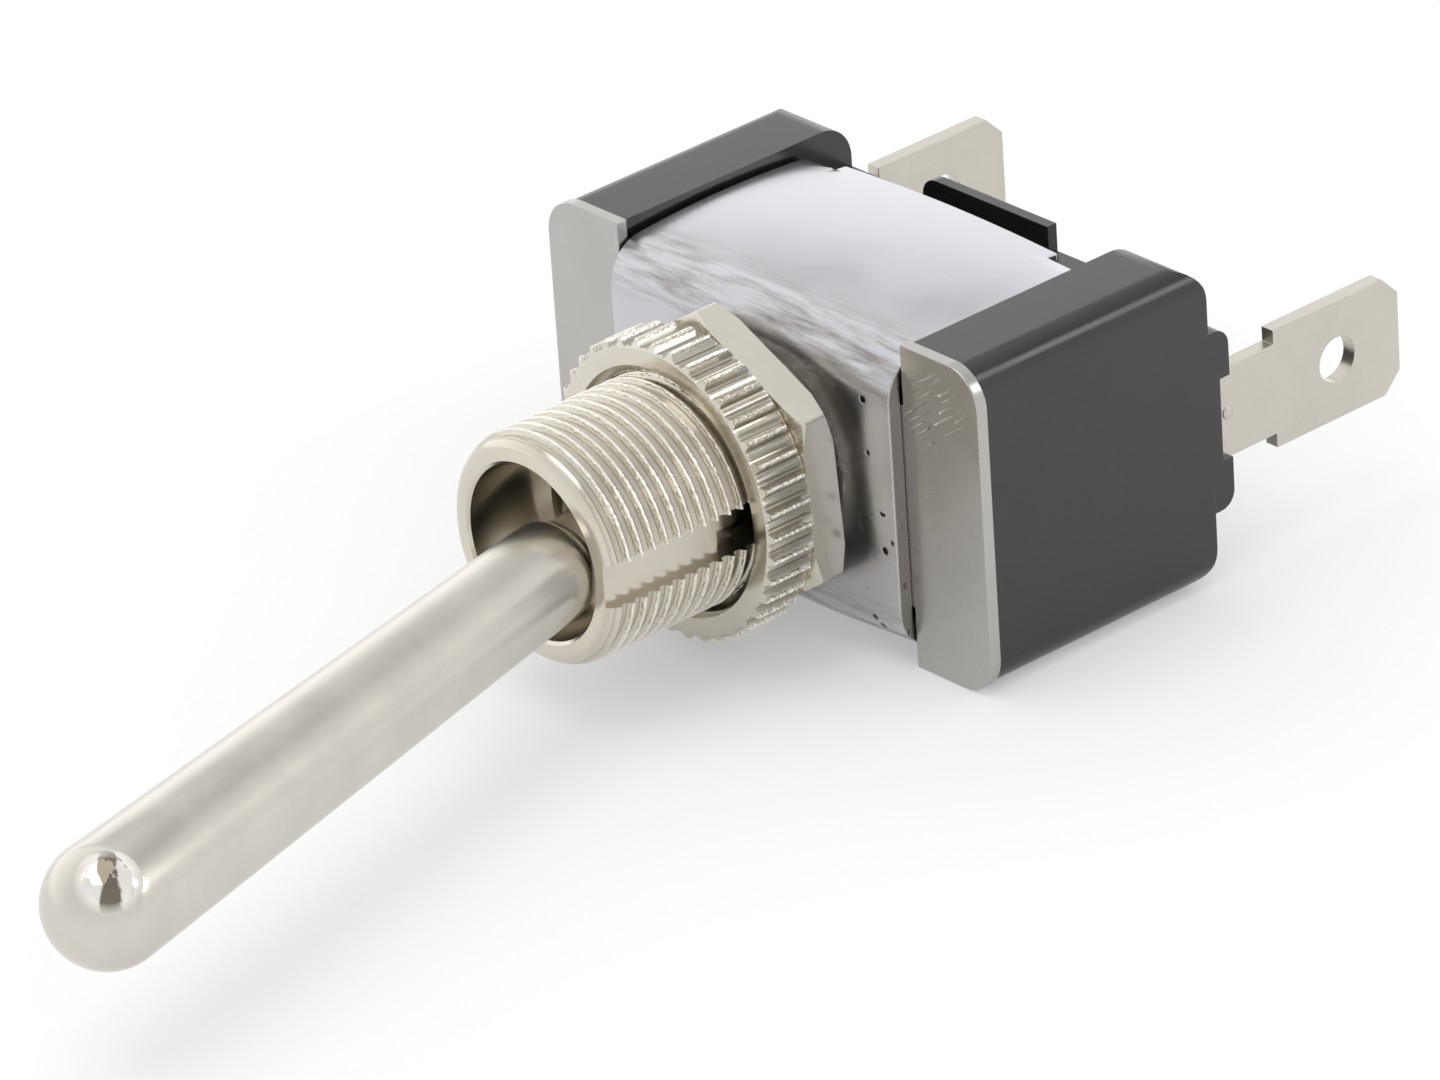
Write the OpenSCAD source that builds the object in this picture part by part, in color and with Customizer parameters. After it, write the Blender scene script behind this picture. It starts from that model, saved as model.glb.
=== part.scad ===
// Panel toggle switch: threaded bushing, long lever, stamped bracket, moulded base and two tab terminals.
// The lever points along -Y, the terminals along +Y. The origin is on the bushing axis, where the
// bushing's shoulder meets the front of the bracket.

/* [Bushing] */
// Diameter over the thread crests
thread_d = 11.9; // [11.4:0.1:13]
// Distance from one thread crest to the next
thread_pitch = 0.794; // [0.7:0.001:1.6]
// Length of the bushing in front of the bracket
bushing_len = 14.3; // [13:0.1:16]
// Bore at the mouth of the bushing
mouth_d = 9; // [8.8:0.05:9.4]
// Bore around the ball of the lever
socket_d = 7.7; // [7.4:0.05:8]
// Diameter of the shank that is staked through the bracket
shank_d = 10.8; // [10.4:0.1:11]
// Width of the keyway cut along the thread
keyway_w = 2.2; // [1.6:0.1:2.6]
// Depth of the keyway
keyway_depth = 0.75; // [0.5:0.05:0.9]

/* [Lever] */
// Distance from the bracket forward to the lever's pivot
pivot_depth = 7.4; // [7:0.1:7.8]
// Tilt of the lever to each side of the bushing axis
throw_angle = 15; // [12:0.5:15.5]
// Length of the lever from its pivot to the tip
lever_len = 46.4; // [30:0.1:60]
// Diameter of the lever at its rounded tip
tip_d = 6.1; // [5:0.1:7]
// Diameter of the neck between the handle and the ball
neck_d = 3.6; // [3:0.1:4]
// Diameter of the stem behind the ball
stem_d = 3.8; // [3.6:0.05:3.9]
// Length of the stem from the pivot to its open end
stem_len = 11.4; // [10.8:0.1:11.6]
// Diameter of the pivot pin
pin_d = 2; // [1.6:0.1:2.2]

/* [Nuts] */
// Hexagonal nut across its flats
hex_af = 14.3; // [13.6:0.1:16]
// Thickness of the hexagonal nut
hex_t = 2.2; // [1.6:0.1:2.6]
// Gap between the bracket and the hexagonal nut
hex_standoff = 0.7; // [0:0.1:2]
// Outer diameter of the knurled ring nut
knurl_d = 16.7; // [15.8:0.1:18]
// Thickness of the knurled ring nut
knurl_t = 2.6; // [2:0.1:3]
// Number of teeth round the knurled ring nut
knurl_teeth = 44; // [30:1:56]

/* [Bracket] */
// Width of the bracket's front and wings
bracket_w = 19.8; // [18:0.1:19.8]
// Depth of the wings behind the front face
wing_len = 13.5; // [12.6:0.1:14]
// Sheet thickness of the bracket
sheet_t = 0.8; // [0.6:0.05:0.9]
// Flat sheet left between the shank's hole and a bend
bend_web = 0.57; // [0.4:0.01:1]
// Length of the face plate from ear to ear
plate_l = 30.5; // [30:0.1:34]
// Height of the case, over the ears of the face plate
plate_h = 17.2; // [16.8:0.1:20]
// Sheet thickness of the face plate
plate_t = 0.65; // [0.5:0.05:0.8]

/* [Base] */
// Length of the moulded base
base_l = 29.5; // [29.3:0.1:32]
// Depth from the bracket's front to the rear face of the base
base_depth = 16.3; // [15.8:0.1:18]
// Height of the collars on the rear face
collar_rise = 1.3; // [0.8:0.1:2]

/* [Terminals] */
// Distance from an end face of the base in to the centre plane of its tab
tab_inset = 0.8; // [0.6:0.05:1.1]
// Width of a tab
tab_w = 6.3; // [5.8:0.1:6.5]
// Thickness of the terminal strip
tab_t = 0.8; // [0.6:0.05:0.8]
// Width of the neck below the tab
tab_neck_w = 4.8; // [4:0.1:5]
// Length of the full-width tab
tab_len = 8.45; // [7:0.05:10]
// Length of the neck outside the rear face
tab_neck_len = 4.65; // [3:0.05:6]
// Diameter of the hole in a tab
tab_hole_d = 2.4; // [1.6:0.1:2.8]

/* [Contacts] */
// Distance from the bracket's front to the rocker's fulcrum
fulcrum_y = 9.4; // [9.2:0.05:9.6]
// Tilt of the rocker for each degree of the lever
rocker_ratio = 0.5; // [0.45:0.01:0.5]
// Thickness of the rocker strip
rocker_t = 0.8; // [0.6:0.05:0.9]
// Distance from a rivet in to the moving contact
contact_inset = 3.9; // [3.9:0.1:4.3]
// Diameter of the moving contact
contact_d = 3; // [2.4:0.1:3.2]
// Radius of the plunger's rounded tip
plunger_tip_r = 1.2; // [1:0.05:1.3]
// Diameter of the plunger's guide
plunger_d = 2.5; // [2.3:0.05:2.6]
// Number of turns of the actuator spring
spring_turns = 7; // [4:1:9]
// Wire diameter of the actuator spring
spring_wire = 0.44; // [0.3:0.02:0.5]

/* [Hidden] */
$fn = 64;

slip = 0.02;            // radial play of a shank in its hole, parts that are staked or riveted
run = 0.05;             // radial play of parts that turn or slide
part_gap = 0.3;         // gap between neighbouring parts of the case
cut = 1;                // overrun of cutting solids

// bushing
thread_r = thread_d / 2;
mouth_r = mouth_d / 2;
socket_r = socket_d / 2;
shank_r = shank_d / 2;
thread_depth = 0.36;                    // crest to root, flattened by the plating
crest_w = 0.14;                         // flat left on a crest
face_chamfer = 0.55;
socket_front = pivot_depth + 2.2;       // where the mouth bore steps down to the socket
flare_front = 3;                        // where the socket starts to open towards the rear
flare_rear = 0.5;
rear_bore_r = shank_r - 0.8;
lip_r = shank_r + 0.3;
lip_t = 0.45;
bracket_back = sheet_t;                 // rear face of the bracket's front
plate_back = sheet_t + plate_t;         // rear face of the face plate, where the base starts
groove_r = shank_r - 0.8;
lock_hole_len = 1.7;                    // deep end of the keyway, in front of the ring nut
lock_hole_hidden = 0.6;                 // part of it behind the ring nut's front face
lock_hole_reach = 0.6;                  // how far it passes into the socket
lip_taper = 0.2;                        // radius lost towards the rear of the staked lip

// lever
pin_r = pin_d / 2;
pin_end_play = 0.1;
ball_r = socket_r - 0.15;
mouth_clear = 0.05;
mouth_reach = bushing_len - pivot_depth;
root_r = (mouth_r - mouth_clear - mouth_reach * tan(throw_angle)) * cos(throw_angle);
tip_r = tip_d / 2;
root_start = mouth_reach - 0.6;         // the handle starts just inside the mouth
root_fillet = 1.6;
stem_r = stem_d / 2;
plunger_r = plunger_d / 2;
stem_bore_r = plunger_r + run;
stem_bore_front = 2.4;

// nuts
nut_play = 0.04;
hex_turn = 4;
hex_corner_loss = 0.25;                 // radius lost at a corner of the front face
hex_front = hex_standoff + hex_t;
knurl_front = hex_front + knurl_t;
knurl_depth = 0.45;
knurl_land = 0.27;                      // flat crest of a tooth, as a share of the pitch to each side
knurl_chamfer = [0.45, 0.3];            // run along the axis at the front and the rear face
knurl_chamfer_r = [0.4, 0.3];           // radius lost at the front and the rear face
nut_mouth = 0.45;

// bracket wings: each is bowed along its depth and crowned across its width
wing_inset = 0.2;                       // wing's highest line below the edge of the face plate
wing_top = plate_h / 2 - wing_inset;
bow_r = 60;
bow_y = 7.5;
crown_r = 120;
wing_steps = 7;
bend_steps = 8;
function bow(y) = wing_top - bow_r + sqrt(bow_r * bow_r - (y - bow_y) * (y - bow_y));
bend_z = shank_r + bend_web;
// outer radius of the bends: the one whose arc from the flat front just reaches the bowed wing
bow_rise = bend_z - wing_top + bow_r;
bend_gap = bow_rise - bow_y;
bend_term = bow_y * bow_y + bow_rise * bow_rise - bow_r * bow_r;
bend_r = (sqrt(bend_gap * bend_gap - 2 * bend_term) - bend_gap) / 2;
crown_drop = crown_r - sqrt(crown_r * crown_r - bracket_w * bracket_w / 4);
crimp_start = wing_len - 0.7;
crimp_w = 2.4;
crimp_gap = 0.25;
crimp_drop = 0.55;
crimp_inset = 0.2;
wing_low = 3;                           // height where the wings merge into the front

// face plate
ear_gap = 0.1;                          // between the bracket's side and a window's end
ear_inner = bracket_w / 2 + ear_gap;
ear_r = 2;
window_play = 0.15;

// base
base_inset = 0.1;                       // end blocks below the edge of the face plate
base_h = plate_h - 2 * base_inset;
wing_gap = 1;                           // between a wing and the body of the base inside it
core_h = 2 * (wing_top - sheet_t - wing_gap);
block_inner = bracket_w / 2 + part_gap;
block_r = 1.3;
block_inner_r = 0.4;
block_rear_r = 1.9;
core_x = block_inner + 0.5;             // the core runs into the end blocks
shoulder_y = wing_len - 0.4;
rear_core_h = core_h - 1.2;
rib_w = 8.9;
rib_t = 0.6;
rib_h = base_h - 2;
rib_corner = 0.8;
cavity_x = base_l / 2 - 2.25;
cavity_h = 7.6;
floor_y = 12;
recess_depth = 1.2;
recess_l = 2 * (cavity_x - 1);
liner_play = 0.1;
recess_h = 2 * (lip_r + liner_play);
recess_r = 1;
liner_t = 0.6;
slot_play = 0.4;
collar_in = 2.3;
collar_h = 9.6;
collar_r = 0.9;
collar_notch = 0.65;
collar_notch_w = 4.4;

// terminals
tab_x = base_l / 2 - tab_inset;
strip_front = floor_y - tab_t;
neck_end = base_depth + tab_neck_len;
tab_end = neck_end + tab_len;
tab_corner = 1.05;
tab_hole_y = neck_end + tab_len / 2;
rivet_inset = 3.25;                     // rivet inward of the tab
rivet_x = tab_x - rivet_inset;
rivet_r = 0.9;
rivet_head_r = 1.6;
rivet_head_t = 0.6;
washer_r = 1.9;
washer_t = 0.4;
seat_depth = washer_t + rivet_head_t + 0.15;

// rocker: its front is the dish that the plunger's tip sweeps
bead_r = 0.8;
bead_sink = 0.3;
rocker_front = bead_r - bead_sink + rocker_t;
tip_play = 0.07;
reach = pivot_depth + fulcrum_y;
tip_len = reach - rocker_front - plunger_tip_r - tip_play;
rocker_angle = rocker_ratio * throw_angle;
sweep_x = tip_len * sin(throw_angle) * cos(rocker_angle)
    + (tip_len * cos(throw_angle) - reach) * sin(rocker_angle);
sweep_y = tip_len * sin(throw_angle) * sin(rocker_angle)
    - (tip_len * cos(throw_angle) - reach) * cos(rocker_angle);
sweep_drop = sweep_y - (reach - tip_len);
sweep_r = (sweep_x * sweep_x + sweep_drop * sweep_drop) / (2 * sweep_drop);
dish_r = sweep_r + plunger_tip_r + tip_play;
dish_x = sweep_x + 0.6;
dish_rise = dish_r - sqrt(dish_r * dish_r - dish_x * dish_x);
arm_front = rocker_front + dish_rise;
arm_back = arm_front - rocker_t;
contact_x = rivet_x - contact_inset;
rocker_reach = contact_x + 1.2;
rocker_w = 4.4;
rocker_end_w = 6.4;
rocker_end_l = 2;
saddle_t = 0.8;
saddle_l = 3.2;
saddle_front = fulcrum_y - 0.1;
saddle_in = rocker_w / 2 - 0.6;
bead_w = 2 * (saddle_in + saddle_t) + 0.2;

// contacts
dome_r = 3;
contact_r = contact_d / 2;
contact_head = 1;
contact_shank_r = 0.8;
fixed_r = contact_r + 0.15;
contact_play = 0.08;
dome_mid = arm_back - contact_head + dome_r;
fixed_x = contact_x * cos(rocker_angle) + dome_mid * sin(rocker_angle);
fixed_front = fulcrum_y + contact_x * sin(rocker_angle) - dome_mid * cos(rocker_angle) + dome_r + contact_play;
load_strip_in = fixed_x - fixed_r - 0.3;

// stop posts for the open side of the rocker
post_in = rocker_w / 2 + 0.4;
post_l = 1.2;
post_front = fulcrum_y + rocker_reach * sin(rocker_angle) - arm_back * cos(rocker_angle) + 0.1;

// plunger and spring, measured back from the pivot
plunger_back = 8.2;
plunger_head_r = 1.9;
plunger_head_t = 0.7;
plunger_travel = 0.9;
head_front = stem_len + plunger_travel;
coil_r = stem_bore_r - 0.15 - spring_wire / 2;
spring_front = stem_bore_front + spring_wire / 2 + 0.05;
spring_back = plunger_back - spring_wire / 2 - 0.05;

// a cylinder or cone along Y, from y0 to y1
module rod(y0, y1, r0, r1 = -1) {
    translate([0, y0, 0]) rotate([-90, 0, 0]) cylinder(h = y1 - y0, r1 = r0, r2 = r1 < 0 ? r0 : r1);
}

// a box from its lowest to its highest corner
module block(low, high) {
    translate(low) cube(high - low);
}

// a rectangle with rounded corners, centred
module rounded(w, h, r) {
    square([w - 2 * r, h], center = true);
    square([w, h - 2 * r], center = true);
    for (x = [-1, 1], y = [-1, 1]) translate([x * (w / 2 - r), y * (h / 2 - r)]) circle(r);
}

// an outline in X and Z, drawn in the XY plane, made a plate from y0 to y1
module plate_y(y0, y1) {
    translate([0, y1, 0]) rotate([90, 0, 0]) linear_extrude(y1 - y0) children();
}

// places the lever's own pieces: the pivot is their origin and the handle points along -Y
module at_lever() {
    translate([0, -pivot_depth, 0]) rotate([0, 0, throw_angle]) children();
}

// places the rocker's own pieces: the fulcrum is their origin
module at_rocker() {
    translate([0, fulcrum_y, 0]) rotate([0, 0, -rocker_angle]) children();
}

module toggle_lever() {
    color("#C9C4BB") at_lever() difference() {
        union() {
            rod(-lever_len + tip_r, -root_start - root_fillet, tip_r, root_r);
            translate([0, -lever_len + tip_r, 0]) sphere(tip_r);
            rod(-root_start - root_fillet, -root_start, root_r - root_fillet);
            // rounded end of the handle inside the mouth
            translate([0, -root_start - root_fillet, 0]) rotate([90, 0, 0]) rotate_extrude() intersection() {
                translate([root_r - root_fillet, 0]) circle(root_fillet);
                translate([0, -root_fillet]) square([root_r, root_fillet]);
            }
            rod(-root_start - root_fillet, 0, neck_d / 2);
            sphere(ball_r);
            rod(0, stem_len, stem_r);
        }
        cylinder(h = 4 * ball_r, r = pin_r + slip, center = true);
        rod(stem_bore_front, stem_len + cut, stem_bore_r);
    }
}

module pivot_pin() {
    color("#A9A9A6") at_lever() cylinder(h = 2 * (groove_r - pin_end_play), r = pin_r, center = true);
}

// a closed tube swept round a helix along Y
module coil(y0, y1, r, wire_r, turns, sides = 6, per_turn = 14) {
    n = turns * per_turn;
    lead = atan((y1 - y0) / (2 * PI * r * turns));
    function hub(i) = [r * cos(360 * i / per_turn), y0 + (y1 - y0) * i / n, r * sin(360 * i / per_turn)];
    points = [for (i = [0:n], j = [0:sides - 1])
        let (a = 360 * i / per_turn, b = 360 * j / sides, o = wire_r * cos(b), u = wire_r * sin(b))
        hub(i) + [o * cos(a) + u * sin(lead) * sin(a), u * cos(lead), o * sin(a) - u * sin(lead) * cos(a)]];
    rings = [for (i = [0:n - 1], j = [0:sides - 1])
        let (k = (j + 1) % sides)
        each [[i * sides + j, (i + 1) * sides + k, (i + 1) * sides + j],
              [i * sides + j, i * sides + k, (i + 1) * sides + k]]];
    first = [for (j = [1:sides - 2]) [0, j + 1, j]];
    last = [for (j = [1:sides - 2]) [n * sides, n * sides + j, n * sides + j + 1]];
    polyhedron(points, concat(rings, first, last));
}

module actuator_spring() {
    color("#8E8F92") at_lever() coil(spring_front, spring_back, coil_r, spring_wire / 2, spring_turns);
}

module plunger() {
    color("#EDE8DA") at_lever() {
        rod(plunger_back, head_front, plunger_r);
        rod(head_front, head_front + plunger_head_t, plunger_head_r);
        rod(head_front + plunger_head_t, tip_len, plunger_head_r, plunger_tip_r);
        translate([0, tip_len, 0]) sphere(plunger_tip_r);
    }
}

// outline of the thread in radius and y, from the mouth's chamfer to the shoulder: each turn is a ring
function thread_outline() =
    let (first = -bushing_len + face_chamfer, turns = floor((bushing_len - face_chamfer) / thread_pitch))
    concat(
        [[0, -bushing_len], [thread_r - face_chamfer, -bushing_len], [thread_r, first]],
        [for (i = [0:turns - 1], p = [[0, crest_w], [thread_depth, (crest_w + thread_pitch) / 2], [0, thread_pitch]])
            [thread_r - p[0], first + i * thread_pitch + p[1]]],
        [[thread_r, 0], [0, 0]]);

module bushing() {
    color("#C6C1B7") difference() {
        union() {
            rotate([90, 0, 0]) rotate_extrude() polygon([for (p = thread_outline()) [p[0], -p[1]]]);
            rod(0, plate_back, shank_r);
            rod(plate_back, plate_back + lip_t, lip_r, lip_r - lip_taper);
        }
        rod(-bushing_len - cut, -socket_front, mouth_r);
        rod(-socket_front - cut, -flare_front, socket_r);
        rod(-flare_front, flare_rear, socket_r, rear_bore_r);
        rod(flare_rear, plate_back + lip_t + cut, rear_bore_r);
        // grooves that the pin ends ride in, open to the rear
        translate([0, -pivot_depth, 0]) cylinder(h = 2 * groove_r, r = pin_r + run, center = true);
        block([-pin_r - run, -pivot_depth, -groove_r], [pin_r + run, plate_back + lip_t + cut, groove_r]);
        // keyway along the thread, and its deep end in front of the ring nut
        block([thread_r - keyway_depth, -bushing_len - cut, -keyway_w / 2],
              [thread_r + cut, -hex_front, keyway_w / 2]);
        block([socket_r - lock_hole_reach, -knurl_front + lock_hole_hidden - lock_hole_len, -keyway_w / 2],
              [thread_r + cut, -knurl_front + lock_hole_hidden, keyway_w / 2]);
    }
}

// thread hole of a nut, opened by a chamfer at each face
module nut_hole(front, back) {
    r = thread_r + nut_play;
    rod(-front - cut, -back + cut, r);
    rod(-front - cut, -front + nut_mouth, r + nut_mouth + cut, r);
    rod(-back - nut_mouth, -back + cut, r, r + nut_mouth + cut);
}

module knurled_nut() {
    pitch = 360 / knurl_teeth;
    r = knurl_d / 2;
    over = 0.1;
    tooth = [[-0.5, knurl_depth], [-knurl_land, 0], [knurl_land, 0]];
    color("#CFCABC") difference() {
        intersection() {
            plate_y(-knurl_front, -hex_front) polygon([for (i = [0:knurl_teeth - 1], p = tooth)
                let (a = (i + p[0]) * pitch) (r - p[1]) * [cos(a), sin(a)]]);
            union() {
                rod(-knurl_front, -knurl_front + knurl_chamfer[0], r - knurl_chamfer_r[0], r + over);
                rod(-knurl_front + knurl_chamfer[0], -hex_front - knurl_chamfer[1], r + over);
                rod(-hex_front - knurl_chamfer[1], -hex_front, r + over, r - knurl_chamfer_r[1]);
            }
        }
        nut_hole(knurl_front, hex_front);
    }
}

// hexagonal nut, its corners turned off by a 30 degree cone at the rear face and barely at the front face
module hex_nut() {
    flat_r = hex_af / 2;
    front_r = flat_r / cos(30) - hex_corner_loss;
    cone_l = hex_t + cut;
    cone_rise = cone_l / tan(30);
    color("#CFCABC") difference() {
        intersection() {
            rotate([0, -hex_turn, 0]) translate([0, -hex_standoff + cut, 0]) rotate([90, 0, 0])
                rotate([0, 0, 30]) cylinder(h = hex_t + 2 * cut, r = flat_r / cos(30), $fn = 6);
            rod(-hex_front, -hex_front + cone_l, front_r, front_r + cone_rise);
            rod(-hex_standoff - cone_l, -hex_standoff, flat_r + cone_rise, flat_r);
        }
        nut_hole(hex_front, hex_standoff);
    }
}

// profile of the front and one wing in Y and height, from the height low to the rear edge of the wing
function wing_profile(low, rear, drop) = concat(
    [[0, low]],
    [for (i = [0:bend_steps]) let (a = 90 * i / bend_steps) [bend_r - bend_r * cos(a), bend_z + bend_r * sin(a)]],
    [for (i = [1:wing_steps]) let (y = bend_r + (crimp_start - bend_r) * i / wing_steps) [y, bow(y)]],
    [[rear, bow(rear) - drop], [rear - drop * 0.5, bow(rear) - drop - sheet_t]],
    [for (i = [wing_steps:-1:1]) let (y = bend_r + (crimp_start - bend_r) * i / wing_steps) [y, bow(y) - sheet_t]],
    [for (i = [bend_steps:-1:0]) let (a = 90 * i / bend_steps, r = bend_r - sheet_t)
        [bend_r - r * cos(a), bend_z + r * sin(a)]],
    [[sheet_t, low]]);

// the profile turned about the crown's axis and trimmed to width
module wing(rear, drop, x0, x1) {
    intersection() {
        translate([0, 0, wing_top - crown_r]) rotate([-90, 0, 0]) rotate_extrude($fn = 180)
            polygon([for (p = wing_profile(wing_low, rear, drop)) [p[1] - wing_top + crown_r, p[0]]]);
        block([x0, -cut, wing_low], [x1, wing_len + cut, wing_top + cut]);
    }
}

module frame_bracket() {
    half = bracket_w / 2;
    tab_in = half - crimp_w;
    color("#C2C4C9") difference() {
        union() {
            for (side = [0, 1]) mirror([0, 0, side]) {
                wing(wing_len, 0, -tab_in, tab_in);
                // the rear corners are cut free by a nick and pressed down over the base
                for (x = [0, 1]) mirror([x, 0, 0]) {
                    wing(crimp_start + 0.01, 0, tab_in, half);
                    wing(wing_len, crimp_drop, tab_in + crimp_gap, half - crimp_inset);
                }
            }
            block([-half, 0, -bend_z + crown_drop], [half, sheet_t, bend_z - crown_drop]);
        }
        rod(-cut, sheet_t + cut, shank_r + slip);
    }
}

module face_plate() {
    window_top = bend_z - window_play;
    color("#B9BBC0") difference() {
        plate_y(bracket_back, plate_back) rounded(plate_l, plate_h, ear_r);
        // windows that the wings bend through, crowned like them
        plate_y(bracket_back - cut, plate_back + cut) for (z = [-1, 1]) {
            difference() {
                translate([-ear_inner, z < 0 ? -plate_h : 0]) square([2 * ear_inner, plate_h]);
                translate([0, z * (window_top - crown_r)]) circle(crown_r, $fn = 720);
            }
        }
        rod(0, plate_back + cut, shank_r + slip);
    }
}

module insulating_plate() {
    front = plate_back + recess_depth - liner_t;
    swing = (front + liner_t + pivot_depth) * tan(throw_angle) + stem_r / cos(throw_angle) + slot_play;
    color("#8A5A3C") difference() {
        plate_y(front, front + liner_t)
            rounded(recess_l - 2 * liner_play, recess_h - 2 * liner_play, recess_r - liner_play);
        // slot for the stem, widened in the middle where the plate is threaded over it
        plate_y(front - cut, front + liner_t + cut) {
            square([2 * swing, 2 * (stem_r + slot_play)], center = true);
            circle(stem_r + 3 * slot_play);
        }
    }
}

// one end block with rounded long edges and a rounded rear
module end_block() {
    w = base_l / 2 - block_inner;
    intersection() {
        // sharper inner corners, then the rounded outer ones
        plate_y(plate_back, base_depth) translate([block_inner + w / 2, 0]) {
            rounded(w, base_h, block_inner_r);
            translate([0, -base_h / 2]) square([w / 2, base_h]);
        }
        plate_y(plate_back, base_depth) rounded(base_l, base_h, block_r);
        translate([block_inner - cut, 0, 0]) rotate([0, 90, 0]) linear_extrude(w + 2 * cut) {
            translate([0, (plate_back + base_depth) / 2]) rounded(base_h, base_depth - plate_back, block_rear_r);
            translate([-base_h / 2, plate_back]) square([base_h, block_rear_r + cut]);
        }
    }
}

// raised collar round a terminal on the rear face, notched where the neck comes out
module collar() {
    out = base_l / 2;
    difference() {
        translate([out - collar_in, 0, 0]) rotate([0, 90, 0]) linear_extrude(collar_in)
            translate([0, base_depth]) rounded(collar_h, 2 * collar_rise, collar_r);
        block([out - collar_in - cut, base_depth + collar_rise - collar_notch, -collar_notch_w / 2],
              [out + cut, base_depth + collar_rise + cut, collar_notch_w / 2]);
    }
}

// openings of the base for one terminal: strip channel, neck slot and rivet hole with its rear seat
module terminal_pocket() {
    half = tab_neck_w / 2 + run;
    block([cavity_x - cut, strip_front - run, -half], [tab_x + tab_t / 2 + run, floor_y, half]);
    block([tab_x - tab_t / 2 - run, strip_front, -half], [tab_x + tab_t / 2 + run, neck_end, half]);
    translate([rivet_x, 0, 0]) {
        rod(floor_y - cut, base_depth + cut, rivet_r + slip);
        rod(base_depth - seat_depth, base_depth + cut, washer_r + run);
    }
}

module base_housing() {
    color("#3A3A3D") difference() {
        union() {
            block([-core_x, plate_back, -core_h / 2], [core_x, shoulder_y, core_h / 2]);
            block([-core_x, plate_back, -rear_core_h / 2], [core_x, base_depth, rear_core_h / 2]);
            plate_y(base_depth - rib_t, base_depth) rounded(rib_w, rib_h, rib_corner);
            for (side = [0, 1]) mirror([side, 0, 0]) {
                end_block();
                collar();
            }
        }
        block([-cavity_x, plate_back - cut, -cavity_h / 2], [cavity_x, floor_y, cavity_h / 2]);
        plate_y(plate_back - cut, plate_back + recess_depth) rounded(recess_l, recess_h, recess_r);
        for (side = [0, 1]) mirror([side, 0, 0]) terminal_pocket();
    }
    color("#3A3A3D") for (z = [-1, 1])
        block([-contact_x - post_l / 2, post_front, min(z * post_in, z * cavity_h / 2)],
              [-contact_x + post_l / 2, floor_y, max(z * post_in, z * cavity_h / 2)]);
}

// strip along the cavity floor, bent through the rear wall into a tab; inner is the strip's inner end
module terminal(inner) {
    neck = tab_neck_w / 2;
    wide = tab_w / 2;
    color("#CFCBBF") difference() {
        union() {
            block([inner, strip_front, -neck], [tab_x + tab_t / 2, floor_y, neck]);
            translate([tab_x - tab_t / 2, 0, 0]) rotate([0, 90, 0]) linear_extrude(tab_t) polygon([
                [-neck, strip_front], [-neck, neck_end], [-wide, neck_end], [-wide, tab_end - tab_corner],
                [tab_corner - wide, tab_end], [wide - tab_corner, tab_end], [wide, tab_end - tab_corner],
                [wide, neck_end], [neck, neck_end], [neck, strip_front]]);
        }
        translate([rivet_x, 0, 0]) rod(strip_front - cut, floor_y + cut, rivet_r + slip);
        translate([tab_x, tab_hole_y, 0]) rotate([0, 90, 0]) cylinder(h = 4 * tab_t, d = tab_hole_d, center = true);
    }
}

module common_terminal() {
    mirror([1, 0, 0]) terminal(-saddle_l / 2);
    // two notched ears carry the rocker's bead
    color("#CFCBBF") for (z = [-1, 1]) difference() {
        block([-saddle_l / 2, saddle_front, min(z * saddle_in, z * (saddle_in + saddle_t))],
              [saddle_l / 2, floor_y - tab_t / 2, max(z * saddle_in, z * (saddle_in + saddle_t))]);
        translate([0, fulcrum_y, 0]) cylinder(h = 3 * rocker_w, r = bead_r + run, center = true);
    }
}

module load_terminal() {
    difference() {
        terminal(load_strip_in);
        translate([fixed_x, 0, 0]) rod(strip_front - cut, floor_y + cut, contact_shank_r + slip);
    }
}

module rivet() {
    rear = base_depth - seat_depth;
    rod(strip_front - rivet_head_t, strip_front, rivet_head_r * 0.8, rivet_head_r);
    rod(strip_front, rear + washer_t, rivet_r);
    rod(rear + washer_t, rear + washer_t + rivet_head_t, rivet_head_r, rivet_head_r * 0.8);
}

module washer() {
    rear = base_depth - seat_depth;
    difference() {
        rod(rear, rear + washer_t, washer_r);
        rod(rear - cut, rear + washer_t + cut, rivet_r + slip);
    }
}

module common_rivet() {
    color("#C9A85C") translate([-rivet_x, 0, 0]) rivet();
}

module load_rivet() {
    color("#C9A85C") translate([rivet_x, 0, 0]) rivet();
}

module common_washer() {
    color("#C0BDB4") translate([-rivet_x, 0, 0]) washer();
}

module load_washer() {
    color("#C0BDB4") translate([rivet_x, 0, 0]) washer();
}

module contact_rocker() {
    dish_back = dish_r + rocker_t;
    dish_mid = -rocker_front - dish_r;
    color("#C77B4A") at_rocker() difference() {
        union() {
            intersection() {
                difference() {
                    translate([0, dish_mid, 0]) cylinder(h = rocker_w, r = dish_back, center = true);
                    translate([0, dish_mid, 0]) cylinder(h = 2 * rocker_w, r = dish_r, center = true);
                }
                block([-dish_x, -arm_front - cut, -rocker_w], [dish_x, 0, rocker_w]);
            }
            cylinder(h = bead_w, r = bead_r, center = true);
            for (x = [-1, 1]) {
                block([min(x * dish_x, x * rocker_reach) - 0.1, -arm_front, -rocker_w / 2],
                      [max(x * dish_x, x * rocker_reach) + 0.1, -arm_back, rocker_w / 2]);
                translate([x * (rocker_reach - rocker_end_l / 2), -(arm_front + arm_back) / 2, 0])
                    cube([rocker_end_l, rocker_t, rocker_end_w], center = true);
            }
        }
        block([-rocker_reach - cut, -arm_front - cut, -rocker_end_w], [-rocker_reach, cut, rocker_end_w]);
        block([rocker_reach, -arm_front - cut, -rocker_end_w], [rocker_reach + cut, cut, rocker_end_w]);
        translate([contact_x, 0, 0]) rod(-arm_front - cut, cut, contact_shank_r + slip);
    }
}

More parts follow.
